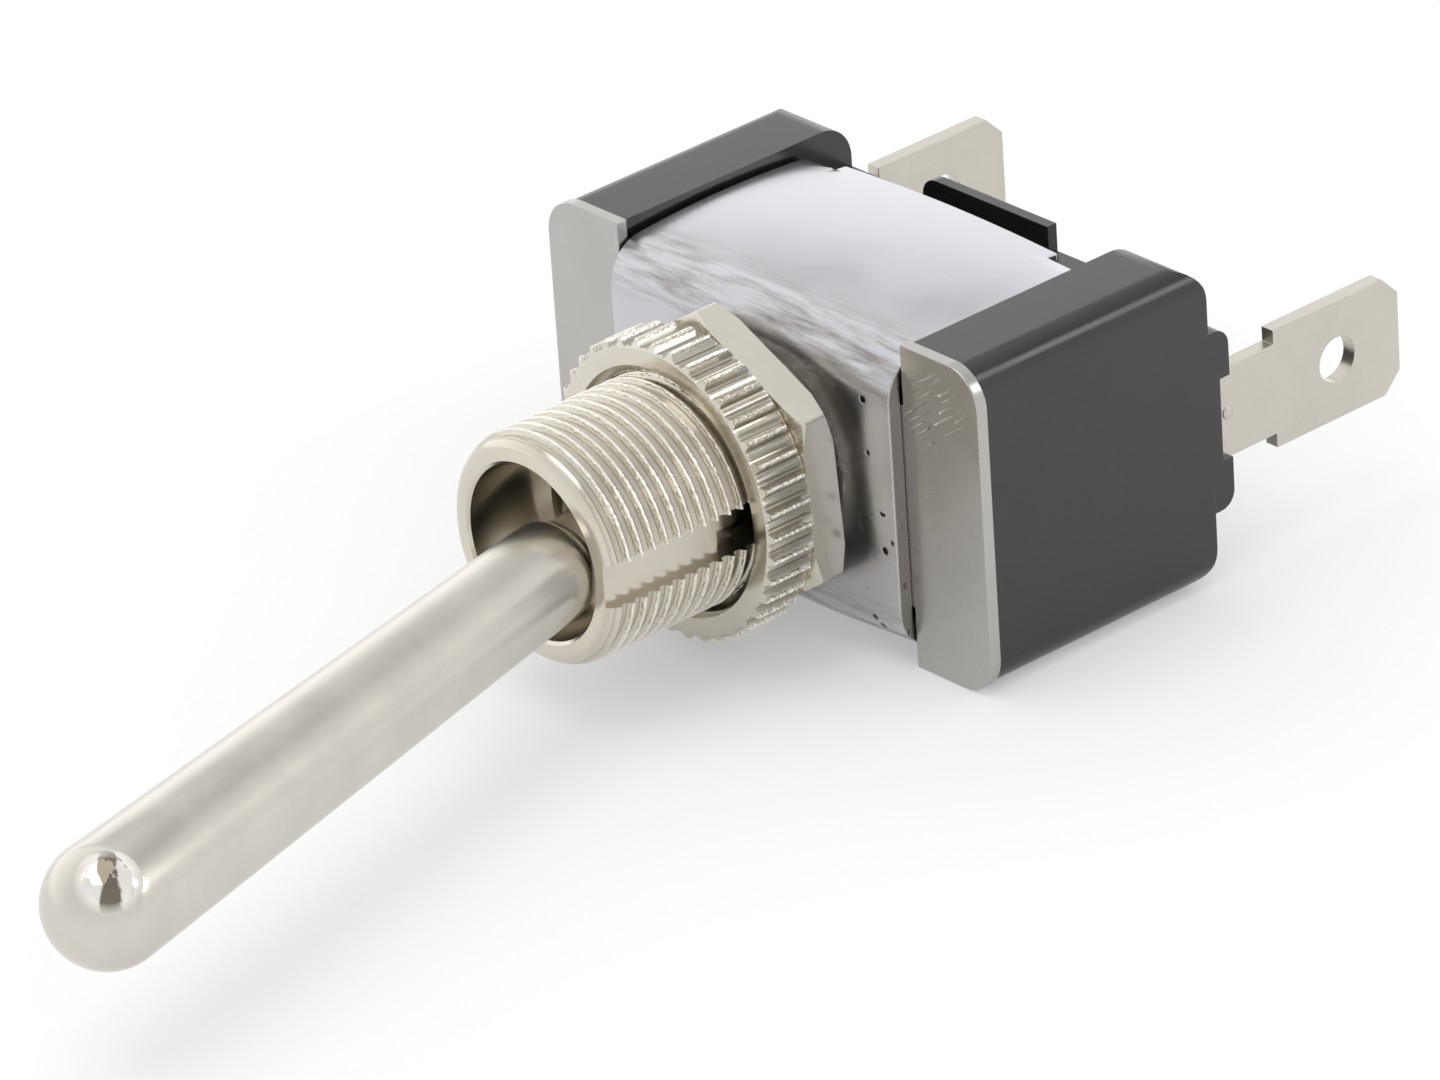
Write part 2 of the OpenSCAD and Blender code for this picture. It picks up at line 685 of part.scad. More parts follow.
module moving_contact() {
    color("#D9D9DC") at_rocker() translate([contact_x, 0, 0]) {
        rod(-arm_front - 0.3, -arm_front, contact_shank_r + 0.4);
        rod(-arm_front, -arm_back, contact_shank_r);
        intersection() {
            rod(-arm_back, -arm_back + contact_head, contact_r);
            translate([0, -dome_mid, 0]) sphere(dome_r);
        }
    }
}

module fixed_contact() {
    color("#D9D9DC") translate([fixed_x, 0, 0]) {
        rod(fixed_front, strip_front, fixed_r);
        rod(strip_front, floor_y - 0.05, contact_shank_r);
    }
}

toggle_lever();
pivot_pin();
actuator_spring();
plunger();
bushing();
knurled_nut();
hex_nut();
frame_bracket();
face_plate();
insulating_plate();
base_housing();
common_terminal();
load_terminal();
common_rivet();
load_rivet();
common_washer();
load_washer();
contact_rocker();
moving_contact();
fixed_contact();
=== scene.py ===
import math
import bpy
import bmesh
from mathutils import Matrix, Vector


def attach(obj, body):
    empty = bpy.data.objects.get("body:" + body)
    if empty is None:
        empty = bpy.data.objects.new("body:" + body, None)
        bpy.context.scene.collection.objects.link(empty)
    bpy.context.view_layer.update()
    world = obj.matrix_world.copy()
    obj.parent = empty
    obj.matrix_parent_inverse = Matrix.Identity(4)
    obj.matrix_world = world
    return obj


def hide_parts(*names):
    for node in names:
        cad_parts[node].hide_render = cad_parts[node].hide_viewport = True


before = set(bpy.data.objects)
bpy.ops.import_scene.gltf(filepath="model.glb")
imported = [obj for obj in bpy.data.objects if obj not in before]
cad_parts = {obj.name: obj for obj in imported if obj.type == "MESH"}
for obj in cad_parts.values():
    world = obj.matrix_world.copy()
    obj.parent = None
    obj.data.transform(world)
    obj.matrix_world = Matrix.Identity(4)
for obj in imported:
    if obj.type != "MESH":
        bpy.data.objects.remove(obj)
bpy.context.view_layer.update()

scene = bpy.context.scene
mm = 0.001
alongY = Vector((0, 1, 0))
print("frame loaded")


def sRgb(code):
    channels = [int(code[i:i + 2], 16) / 255 for i in (1, 3, 5)]
    return tuple(c / 12.92 if c <= 0.04045 else ((c + 0.055) / 1.055) ** 2.4 for c in channels) + (1.0,)


# adds one shader node; its inputs are numbers or other nodes' outputs, given by name or in their order
def addNode(tree, kind, inputs=(), **settings):
    node = tree.nodes.new("ShaderNode" + kind)
    for name, value in settings.items():
        setattr(node, name, value)
    for name, value in inputs.items() if isinstance(inputs, dict) else enumerate(inputs):
        socket = node.inputs[name]
        if isinstance(value, bpy.types.NodeSocket):
            tree.links.new(value, socket)
        else:
            socket.default_value = value
    return node


def startMaterial(name):
    material = bpy.data.materials.new(name)
    material.use_nodes = True
    tree = material.node_tree
    tree.nodes.clear()
    shader = addNode(tree, "BsdfPrincipled")
    addNode(tree, "OutputMaterial", {"Surface": shader.outputs[0]})
    return material, tree, shader


# the tone in faint clouds that go down to a darker share of it, and a gloss that follows the same clouds
def makeClouds(tree, cloud, tone, darkShare, ramp, gloss):
    light = sRgb(tone)
    colour = addNode(tree, "ValToRGB", (cloud,))
    stops = colour.color_ramp.elements
    stops[0].position, stops[1].position = ramp
    stops[0].color = tuple(c * darkShare for c in light[:3]) + (1,)
    stops[1].color = light
    return colour.outputs[0], addNode(tree, "MapRange", (cloud, 0.3, 0.7, *gloss)).outputs[0]


# links the three results to the shader and sets its remaining numbers
def finishMaterial(tree, shader, colour, gloss, bump, **numbers):
    tree.links.new(colour, shader.inputs["Base Color"])
    tree.links.new(gloss, shader.inputs["Roughness"])
    tree.links.new(bump, shader.inputs["Normal"])
    for name, value in numbers.items():
        shader.inputs[name].default_value = value


# a bmesh edge line from points, ready to spin or extrude
def drawLine(points):
    bm = bmesh.new()
    verts = [bm.verts.new(p) for p in points]
    for a, b in zip(verts, verts[1:]):
        bm.edges.new((a, b))
    return bm


# spins a half outline, given as radius and y, once round the Y axis
def spinRound(outline, steps):
    bm = drawLine([(r, y, 0) for r, y in outline])
    bmesh.ops.spin(bm, geom=bm.verts[:] + bm.edges[:], cent=(0, 0, 0), axis=alongY,
                   angle=2 * math.pi, steps=steps, use_merge=True)
    bmesh.ops.remove_doubles(bm, verts=bm.verts, dist=0.0005)
    bmesh.ops.recalc_face_normals(bm, faces=bm.faces)
    return bm


def boxBetween(low, high):
    bm = bmesh.new()
    bmesh.ops.create_cube(bm, size=1)
    bmesh.ops.scale(bm, vec=Vector(high) - Vector(low), verts=bm.verts)
    bmesh.ops.translate(bm, vec=(Vector(low) + Vector(high)) / 2, verts=bm.verts)
    return bm


def turnBy(bm, degrees, axis):
    matrix = Matrix.Rotation(math.radians(degrees), 3, axis)
    bmesh.ops.rotate(bm, cent=(0, 0, 0), matrix=matrix, verts=bm.verts)


def moveBy(bm, step, verts=None):
    bmesh.ops.translate(bm, vec=step, verts=verts or bm.verts)


def vertsOf(geometry):
    return [g for g in geometry if isinstance(g, bmesh.types.BMVert)]


# points on an arc, with its start and end in degrees
def arc(cx, cy, radius, start, end, count):
    angles = (math.radians(start + (end - start) * i / count) for i in range(count + 1))
    return [(cx + radius * math.cos(a), cy + radius * math.sin(a)) for a in angles]


# rounds the edges that run along one axis (0 for X, 1 for Y) and whose ends pass the test
def roundEdges(bm, axis, width, segments, test=lambda place: True):
    edges = [e for e in bm.edges if abs((e.verts[0].co - e.verts[1].co)[axis]) > 0.1
             and test(e.verts[0].co) and test(e.verts[1].co)]
    bmesh.ops.bevel(bm, geom=edges, offset=width, offset_type="OFFSET", segments=segments,
                    profile=0.5, affect="EDGES", material=-1, clamp_overlap=True)


# joins, cuts or trims one bmesh with another by an exact boolean, and gives a new bmesh
def carve(bm, cutter, operation="DIFFERENCE"):
    parts = []
    for each in (bm, cutter):
        bmesh.ops.recalc_face_normals(each, faces=each.faces)
        mesh = bpy.data.meshes.new("carving")
        each.to_mesh(mesh)
        each.free()
        part = bpy.data.objects.new("carving", mesh)
        scene.collection.objects.link(part)
        parts.append(part)
    modifier = parts[0].modifiers.new("carve", "BOOLEAN")
    modifier.object = parts[1]
    modifier.operation = operation
    modifier.solver = "EXACT"
    bpy.context.view_layer.update()
    solid = parts[0].evaluated_get(bpy.context.evaluated_depsgraph_get())
    result = bmesh.new()
    result.from_mesh(solid.to_mesh())
    solid.to_mesh_clear()
    for part in parts:
        mesh = part.data
        bpy.data.objects.remove(part)
        bpy.data.meshes.remove(mesh)
    bmesh.ops.remove_doubles(result, verts=result.verts, dist=0.0005)
    return result


# millimetres to metres, object, materials, body and the CAD nodes it stands for
def finishPiece(name, bm, body, materials, cadNodes, edgeWidth=0, sharpAngle=32, segments=2):
    bmesh.ops.recalc_face_normals(bm, faces=bm.faces)
    bmesh.ops.scale(bm, vec=(mm, mm, mm), verts=bm.verts)
    for edge in bm.edges:
        edge.smooth = len(edge.link_faces) == 2 and edge.calc_face_angle(0) < math.radians(sharpAngle)
    for face in bm.faces:
        face.smooth = True
    mesh = bpy.data.meshes.new(name)
    bm.to_mesh(mesh)
    bm.free()
    for material in materials:
        mesh.materials.append(material)
    piece = bpy.data.objects.new(name, mesh)
    scene.collection.objects.link(piece)
    if edgeWidth:
        rounding = piece.modifiers.new("rounding", "BEVEL")
        rounding.width = edgeWidth * mm
        rounding.segments = segments
        rounding.limit_method = "ANGLE"
        rounding.angle_limit = math.radians(sharpAngle)
        rounding.miter_outer = "MITER_ARC"
        shading = piece.modifiers.new("shading", "WEIGHTED_NORMAL")
        shading.keep_sharp = True
    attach(piece, body)
    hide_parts(*cadNodes)


# where the viewer stands, in degrees and millimetres, and a long lens that keeps the lever in proportion
camera = {"azimuth": 49.69, "elevation": 27.25, "roll": -3.94, "distance": 508.6,
          "aimRight": -1.645, "aimUp": -4.33, "lens": 265.04, "sensor": 36}


def placeCamera():
    d = camera
    azimuth, elevation, roll = (math.radians(d[k]) for k in ("azimuth", "elevation", "roll"))
    flatRight = Vector((math.cos(azimuth), math.sin(azimuth), 0))
    back = Vector((math.sin(azimuth) * math.cos(elevation), -math.cos(azimuth) * math.cos(elevation),
                   math.sin(elevation)))
    flatUp = back.cross(flatRight)
    right = flatRight * math.cos(roll) + flatUp * math.sin(roll)
    up = flatUp * math.cos(roll) - flatRight * math.sin(roll)
    data = bpy.data.cameras.new("camera")
    data.lens = d["lens"]
    data.sensor_width = d["sensor"]
    data.clip_start = 0.01
    viewer = bpy.data.objects.new("camera", data)
    scene.collection.objects.link(viewer)
    place = (right * d["aimRight"] + up * d["aimUp"] + back * d["distance"]) * mm
    viewer.matrix_world = Matrix.Translation(place) @ Matrix((right, up, back)).transposed().to_4x4()
    scene.camera = viewer


placeCamera()
print("camera set")


# a texture of scale 1000 has a pattern of about 1 mm, and one of scale 250 a pattern of about 4 mm


# nearly mirror-like and dented inside the worn, polished spot; its whiter colour there is partly a painted
# highlight, and the dark stripe across its middle is a painted reflection of the dark gap between two
# softboxes
def polishedSpotWithPaintedLight(tree, place, spot, colour, gloss, bump):
    away = addNode(tree, "VectorMath", (place, spot["place"]), operation="DISTANCE").outputs["Value"]
    polishedAndHighlit = addNode(tree, "MapRange", (away, spot["inner"] * mm, spot["outer"] * mm, 1, 0)).outputs[0]
    # dents about 1.1 mm across
    dents = addNode(tree, "TexNoise", {"Vector": place, "Scale": 900, "Detail": 2}).outputs[0]
    dented = addNode(tree, "Math", (dents, polishedAndHighlit), operation="MULTIPLY").outputs[0]
    bump = addNode(tree, "Bump", {"Height": dented, "Strength": 1, "Distance": 0.18 * mm,
                                  "Normal": bump}).outputs[0]
    # painted reflection: a dark stripe across the spot's middle, standing for the dark gap between two
    # softboxes
    aside = addNode(tree, "VectorMath", (place, spot["place"]), operation="SUBTRACT").outputs[0]
    aside = addNode(tree, "VectorMath", (aside, spot["across"]), operation="DOT_PRODUCT").outputs["Value"]
    aside = addNode(tree, "Math", (aside,), operation="ABSOLUTE").outputs[0]
    aside = addNode(tree, "Math", (dents, 0.7 * mm, aside), operation="MULTIPLY_ADD").outputs[0]
    paintedDarkStripe = addNode(tree, "MapRange", (aside, 0.72 * mm, 0.84 * mm, 1, 0)).outputs[0]
    paintedDarkStripe = addNode(tree, "Math", (paintedDarkStripe, polishedAndHighlit), operation="MULTIPLY").outputs[0]
    # the spot is painted whiter, a painted highlight over real polish, and the stripe is painted darker, a
    # painted reflection
    colour = addNode(tree, "Mix", {0: polishedAndHighlit, 6: colour, 7: sRgb("#F2EEE8")}, data_type="RGBA").outputs[2]
    colour = addNode(tree, "Mix", {0: paintedDarkStripe, 6: colour, 7: sRgb("#7A7266")}, data_type="RGBA").outputs[2]
    gloss = addNode(tree, "MapRange", (polishedAndHighlit, 0, 1, gloss, 0.05)).outputs[0]
    return colour, gloss, bump


# crests ragged from the die and painted whiter as a painted highlight, and grooves between them darkened by
# old oil together with painted shade
def rollCrests(tree, place, rolled, colour, bump):
    # the burr adds 0.1 mm on average to the radius that the limits below are compared with
    burrDepth, burrMean = 0.2 * mm, 0.1
    flat = addNode(tree, "VectorMath", (place, (1, 0, 1)), operation="MULTIPLY").outputs[0]
    radius = addNode(tree, "VectorMath", (flat,), operation="LENGTH").outputs["Value"]
    # burrs about 0.3 mm long, coarser than real ones so that they show
    burr = addNode(tree, "TexNoise", {"Vector": place, "Scale": 3600, "Detail": 2}).outputs[0]
    radius = addNode(tree, "Math", (burr, burrDepth, radius), operation="MULTIPLY_ADD").outputs[0]
    crest = addNode(tree, "MapRange", (radius, (rolled["crestFrom"] + burrMean) * mm,
                                       (rolled["crestTo"] + burrMean) * mm)).outputs[0]
    ragged = addNode(tree, "Math", (crest, burr), operation="MULTIPLY").outputs[0]
    bump = addNode(tree, "Bump", {"Height": ragged, "Strength": 0.9, "Distance": 0.08 * mm,
                                  "Normal": bump}).outputs[0]
    # painted highlight: the crests are painted whiter
    colour = addNode(tree, "Mix", {0: crest, 6: colour, 7: sRgb("#F3EFE6")}, data_type="RGBA").outputs[2]
    # painted shade, together with old oil: the grooves are painted darker
    deep = (radius, (rolled["groove"] + burrMean) * mm)
    deep = addNode(tree, "Math", deep, operation="SUBTRACT").outputs[0]
    deep = addNode(tree, "Math", (deep,), operation="ABSOLUTE").outputs[0]
    deep = addNode(tree, "MapRange", (deep, rolled["reach"] * mm, 2 * rolled["reach"] * mm,
                                      rolled["oilAndShade"], 0)).outputs[0]
    along = addNode(tree, "SeparateXYZ", (place,)).outputs["Y"]
    inside = (along, rolled["middle"] * mm, rolled["half"] * mm)
    inside = addNode(tree, "Math", inside, operation="COMPARE").outputs[0]
    deep = addNode(tree, "Math", (deep, inside), operation="MULTIPLY").outputs[0]
    colour = addNode(tree, "Mix", {0: deep, 6: colour, 7: sRgb("#5F584C")}, data_type="RGBA").outputs[2]
    return colour, bump


# plate on turned or stamped metal: a soft gloss over faint clouds, with fine pores
def platedMetal(name, tone, roughness, spot=None, rolled=None):
    material, tree, shader = startMaterial(name)
    place = addNode(tree, "TexCoord").outputs["Object"]
    # clouds about 4 mm across
    cloud = addNode(tree, "TexNoise", {"Vector": place, "Scale": 260, "Detail": 4,
                                       "Roughness": 0.6}).outputs[0]
    colour, gloss = makeClouds(tree, cloud, tone, 0.93, (0.35, 0.65), (roughness * 0.9, roughness * 1.12))
    # pores of 0.2 mm, drawn far coarser than in real plate so that they show
    pores = addNode(tree, "TexNoise", {"Vector": place, "Scale": 5200, "Detail": 2}).outputs[0]
    bump = addNode(tree, "Bump", {"Height": pores, "Strength": 0.2, "Distance": 0.01 * mm}).outputs[0]
    if spot:
        colour, gloss, bump = polishedSpotWithPaintedLight(tree, place, spot, colour, gloss, bump)
    if rolled:
        colour, bump = rollCrests(tree, place, rolled, colour, bump)
    finishMaterial(tree, shader, colour, gloss, bump, Metallic=1)
    return material


# dull streaks along X on the bend, where the press tool rubbed
def scuffBend(tree, place, scuffs, colour, gloss):
    axes = addNode(tree, "SeparateXYZ", (place,)).outputs
    drawn = addNode(tree, "VectorMath", (place, (0.12, 1, 1)), operation="MULTIPLY").outputs[0]
    # streaks about 0.5 mm wide and eight times as long
    streak = addNode(tree, "TexNoise", {"Vector": drawn, "Scale": 1900, "Detail": 4,
                                        "Roughness": 0.65}).outputs[0]
    streak = addNode(tree, "MapRange", (streak, 0.42, 0.68)).outputs[0]
    front = (axes["Y"], scuffs["full"] * mm, scuffs["none"] * mm, 1, 0)
    front = addNode(tree, "MapRange", front).outputs[0]
    high = addNode(tree, "Math", (axes["Z"],), operation="ABSOLUTE").outputs[0]
    high = addNode(tree, "MapRange", (high, scuffs["low"] * mm, scuffs["high"] * mm)).outputs[0]
    bend = addNode(tree, "Math", (front, high), operation="MULTIPLY").outputs[0]
    rubbed = addNode(tree, "Math", (streak, bend), operation="MULTIPLY").outputs[0]
    colour = addNode(tree, "Mix", {0: rubbed, 6: colour, 7: sRgb("#8F8A86")}, data_type="RGBA").outputs[2]
    gloss = addNode(tree, "Math", (rubbed, 0.16, gloss), operation="MULTIPLY_ADD").outputs[0]
    return colour, gloss


# a duller sheared side edge, and a few dark pits in the plate near it on the front face
def pitEdges(tree, place, pits, colour, bump):
    axes = addNode(tree, "SeparateXYZ", (place,)).outputs
    sheared = addNode(tree, "Math", (axes["X"],), operation="ABSOLUTE").outputs[0]
    sheared = addNode(tree, "MapRange", (sheared, pits["edge"] * mm, (pits["edge"] + 0.05) * mm)).outputs[0]
    colour = addNode(tree, "Mix", {0: sheared, 6: colour, 7: sRgb("#A09C98")}, data_type="RGBA").outputs[2]
    # cells 1.2 mm apart, each with a pit about 0.3 mm across
    cells = addNode(tree, "TexVoronoi", {"Vector": place, "Scale": 850}).outputs["Distance"]
    hole = addNode(tree, "MapRange", (cells, 0.14, 0.2, 1, 0)).outputs[0]
    side = addNode(tree, "MapRange", (axes["X"], pits["from"] * mm, pits["full"] * mm)).outputs[0]
    face = addNode(tree, "MapRange", (axes["Y"], 0.2 * mm, 0.6 * mm, 1, 0)).outputs[0]
    few = addNode(tree, "TexNoise", {"Vector": place, "Scale": 700, "Detail": 1}).outputs[0]
    few = addNode(tree, "MapRange", (few, 0.46, 0.5)).outputs[0]
    for share in (side, face, few):
        hole = addNode(tree, "Math", (hole, share), operation="MULTIPLY").outputs[0]
    colour = addNode(tree, "Mix", {0: hole, 6: colour, 7: sRgb("#2B2723")}, data_type="RGBA").outputs[2]
    bump = addNode(tree, "Bump", {"Height": hole, "Strength": 0.8, "Distance": 0.08 * mm,
                                  "Normal": bump}, invert=True).outputs[0]
    return colour, bump


# short bright dents at one spacing, as a feed roller's ribs leave them
def rollerDents(tree, place, dents, colour, bump):
    turn = (0, math.radians(dents["angle"]), 0)
    turned = addNode(tree, "Mapping", {"Vector": place, "Rotation": turn}).outputs[0]
    turned = addNode(tree, "VectorMath", (turned, (0.16, 1, 1)), operation="MULTIPLY").outputs[0]
    # breaks about 0.4 mm wide in the lines
    broken = addNode(tree, "TexNoise", {"Vector": turned, "Scale": 2600, "Detail": 1}).outputs[0]
    broken = addNode(tree, "MapRange", (broken, 0.47, 0.51)).outputs[0]
    # a wave texture of scale 1 repeats each 0.314 m
    lines = addNode(tree, "TexWave", {"Vector": turned, "Scale": 0.314 / (dents["spacing"] * mm),
                                      "Distortion": 1.2, "Detail": 1}, bands_direction="Z").outputs["Fac"]
    lines = addNode(tree, "MapRange", (lines, 0.66, 0.84)).outputs[0]
    away = addNode(tree, "VectorMath", (place, dents["place"]), operation="DISTANCE").outputs["Value"]
    near = (away, 0.6 * dents["reach"] * mm, dents["reach"] * mm, 1, 0)
    near = addNode(tree, "MapRange", near).outputs[0]
    for share in (broken, near):
        lines = addNode(tree, "Math", (lines, share), operation="MULTIPLY").outputs[0]
    colour = addNode(tree, "Mix", {0: lines, 6: colour, 7: sRgb("#E2DFD8")}, data_type="RGBA").outputs[2]
    bump = addNode(tree, "Bump", {"Height": lines, "Strength": 1, "Distance": 0.12 * mm,
                                  "Normal": bump}, invert=True).outputs[0]
    return colour, bump


# bright zinc plate on stamped steel sheet: a blurred, slightly wavy mirror with faint clouds
def zincPlate(name, tone, roughness, scuffs=None, pits=None, dents=None):
    material, tree, shader = startMaterial(name)
    place = addNode(tree, "TexCoord").outputs["Object"]
    # clouds between 5 and 6 mm across
    cloud = addNode(tree, "TexNoise", {"Vector": place, "Scale": 180, "Detail": 5,
                                       "Roughness": 0.55}).outputs[0]
    colour, gloss = makeClouds(tree, cloud, tone, 0.93, (0.3, 0.62), (roughness * 0.85, roughness * 1.2))
    # waves in the sheet about 2.4 mm long
    wave = addNode(tree, "TexNoise", {"Vector": place, "Scale": 420, "Detail": 1}).outputs[0]
    bump = addNode(tree, "Bump", {"Height": wave, "Strength": 0.25, "Distance": 0.03 * mm}).outputs[0]
    if scuffs:
        colour, gloss = scuffBend(tree, place, scuffs, colour, gloss)
    if pits:
        colour, bump = pitEdges(tree, place, pits, colour, bump)
    if dents:
        colour, bump = rollerDents(tree, place, dents, colour, bump)
    finishMaterial(tree, shader, colour, gloss, bump, Metallic=1)
    return material


# moulded plastic: a gloss with faint clouds and a fine moulded texture
def moulded(name, tone, roughness, ior=1.6):
    material, tree, shader = startMaterial(name)
    place = addNode(tree, "TexCoord").outputs["Object"]
    # clouds about 3 mm across
    cloud = addNode(tree, "TexNoise", {"Vector": place, "Scale": 300, "Detail": 5}).outputs[0]
    colour, gloss = makeClouds(tree, cloud, tone, 0.75, (0.35, 0.65), (roughness * 0.85, roughness * 1.2))
    # a grain of 0.26 mm, coarser than a real mould leaves so that it shows
    grain = addNode(tree, "TexNoise", {"Vector": place, "Scale": 3800, "Detail": 2}).outputs[0]
    bump = addNode(tree, "Bump", {"Height": grain, "Strength": 0.2, "Distance": 0.01 * mm}).outputs[0]
    finishMaterial(tree, shader, colour, gloss, bump, IOR=ior)
    return material


# satin nickel: warm grey metal with a soft gloss, worn to a polish at a spot near the lever's tip, with a
# painted highlight and a painted dark reflection there
tipSpotAndPaintedLight = {"place": (0.0129, -0.0503, 0.0023), "inner": 1.1, "outer": 1.6, "across": (0.65, 0.76, 0)}
leverNickel = platedMetal("satinNickelLever", "#D2CEC5", 0.24, spot=tipSpotAndPaintedLight)
# the same plate on the thread, with a painted highlight on the ragged crests and old oil with painted shade
# in the grooves
threadRoll = {"crestFrom": 5.82, "crestTo": 5.94, "groove": 5.63, "reach": 0.05, "oilAndShade": 0.25,
              "middle": -7, "half": 7}
bushingNickel = platedMetal("satinNickelThread", "#D6D0C3", 0.2, rolled=threadRoll)
# a darker brown plate on the sides of the keyway and the lock hole: painted shade in the recess
recessShadeNickel = platedMetal("recessShadeNickel", "#8D8577", 0.35)
# the clean plate of the hexagonal nut
nutNickel = platedMetal("satinNickelNut", "#D6D1C5", 0.2)
# the knurl, with a painted highlight on its crests and old oil with painted shade in its roots
knurlRoll = {"crestFrom": 7.6, "crestTo": 7.76, "groove": 7.42, "reach": 0.08, "oilAndShade": 0.35,
             "middle": -4.4, "half": 1.33}
ringNickel = platedMetal("satinNickelKnurl", "#D6D1C5", 0.18, rolled=knurlRoll)
# bluish bright sheet with a scuffed bend and a pitted side edge
bendScuffs = {"full": 1.2, "none": 3.4, "low": 5, "high": 7}
sidePits = {"edge": 9.84, "from": 7, "full": 8}
bracketZinc = zincPlate("brightZincSheet", "#CBCBCF", 0.25, scuffs=bendScuffs, pits=sidePits)
# the greyer plate behind it, with roller dents at the top of one ear
earDents = {"angle": 36, "spacing": 0.36, "place": (0.0121, 0.0008, 0.0057), "reach": 2.1}
plateZinc = zincPlate("brightZincPlate", "#B9B7B4", 0.27, dents=earDents)
# black phenolic with a bright sheen at a low angle
basePhenolic = moulded("mouldedPhenolic", "#1D1D1F", 0.22)
# dull tin, a little warmer than the nickel
tabTin = platedMetal("tinPlatedBrass", "#CBC7BD", 0.3)
print("materials made")


# the turned handle with its tip, neck, ball and hollow stem, as one outline
lever = {"length": 46.4, "tipRadius": 3.05, "rootRadius": 2.51, "rootStart": 6.3, "rootRound": 1.6,
         "neckRadius": 1.8, "neckStep": 0.12, "ballRadius": 3.7, "stemRadius": 1.9, "stemLength": 11.4,
         "boreRadius": 1.3, "boreStart": 2.4, "pivot": (0, -7.4, 0), "tilt": 15, "steps": 96}


def makeLever():
    d = lever
    tipCentre = d["tipRadius"] - d["length"]
    rootEdge = -d["rootStart"] - d["rootRound"]
    outline = [(max(r, 0), y) for r, y in arc(0, tipCentre, d["tipRadius"], -90, 0, 16)]
    outline += [(d["tipRadius"] + (d["rootRadius"] - d["tipRadius"]) * i / 8,
                 tipCentre + (rootEdge - tipCentre) * i / 8) for i in range(1, 8)]
    outline += arc(d["rootRadius"] - d["rootRound"], rootEdge, d["rootRound"], 0, 55, 8)
    outline += [(d["neckRadius"], -d["rootStart"] - d["neckStep"])]
    ballFront = math.degrees(math.acos(d["neckRadius"] / d["ballRadius"]))
    ballBack = math.degrees(math.acos(d["stemRadius"] / d["ballRadius"]))
    outline += arc(0, 0, d["ballRadius"], -ballFront, ballBack, 18)
    outline += [(d["stemRadius"], d["stemLength"]), (d["boreRadius"], d["stemLength"]),
                (d["boreRadius"], d["boreStart"]), (0, d["boreStart"])]
    bm = spinRound(outline, d["steps"])
    turnBy(bm, d["tilt"], "Z")
    moveBy(bm, d["pivot"])
    finishPiece("lever", bm, "lever", [leverNickel], ["toggle_lever"], sharpAngle=40)


makeLever()
print("lever made")


# the bushing's helical thread, keyway, lock hole at the keyway's inner end, and groove for the pivot pin
bushing = {"crest": 5.95, "root": 5.62, "pitch": 0.794, "mouth": -14.3, "mouthEdge": 5.1, "mouthRun": 1.4,
           "trim": 0.02, "rearChamfer": 0.25, "boreRadius": 4.5, "boreChamfer": 0.15, "socketRadius": 3.85,
           "socketFront": -9.6, "flareFront": -3, "rearRadius": 4.6, "shankRadius": 5.4, "shankFront": -0.5,
           "back": 1.45, "lip": 5.7, "lipRound": 0.2, "lipBack": 1.9, "outside": 7, "keyWidth": 2.2,
           "keyFloor": 5.2, "keyBack": -2.9, "holeFront": -5.8, "holeBack": -4.9, "holeFloor": 3.3,
           "holeNarrow": 0.08, "stepFront": -7.15, "stepFloor": 4.85, "stepTop": 0.15, "pinGroove": 1.05,
           "pinDepth": 4.6, "pivotY": -7.4, "steps": 192}


def makeThread(d):
    pitch, turns = d["pitch"], int(-d["mouth"] / d["pitch"]) + 4
    # one turn as shares of the pitch: rounded root, two flanks and a narrow crest
    tooth = [(0, d["root"]), (0.3, d["root"] + 0.04), (0.47, d["crest"] - 0.03), (0.51, d["crest"]),
             (0.62, d["crest"]), (0.66, d["crest"] - 0.03), (0.85, d["root"] + 0.04)]
    start = d["mouth"] - 2 * pitch
    bm = drawLine([(r, start + (i + share) * pitch, 0) for i in range(turns) for share, r in tooth])
    bmesh.ops.spin(bm, geom=bm.verts[:] + bm.edges[:], cent=(0, 0, 0), axis=alongY,
                   dvec=(0, pitch / d["steps"], 0), angle=2 * math.pi, steps=d["steps"])
    bmesh.ops.remove_doubles(bm, verts=bm.verts, dist=0.002)
    for y, side in ((d["mouth"] - 0.3, -1), (0.3, 1)):
        bmesh.ops.bisect_plane(bm, geom=bm.verts[:] + bm.edges[:] + bm.faces[:], plane_co=(0, y, 0),
                               plane_no=(0, side, 0), clear_outer=True)
    bmesh.ops.holes_fill(bm, edges=[e for e in bm.edges if e.is_boundary], sides=0)
    bmesh.ops.triangulate(bm, faces=[f for f in bm.faces if len(f.verts) > 4])
    return bm


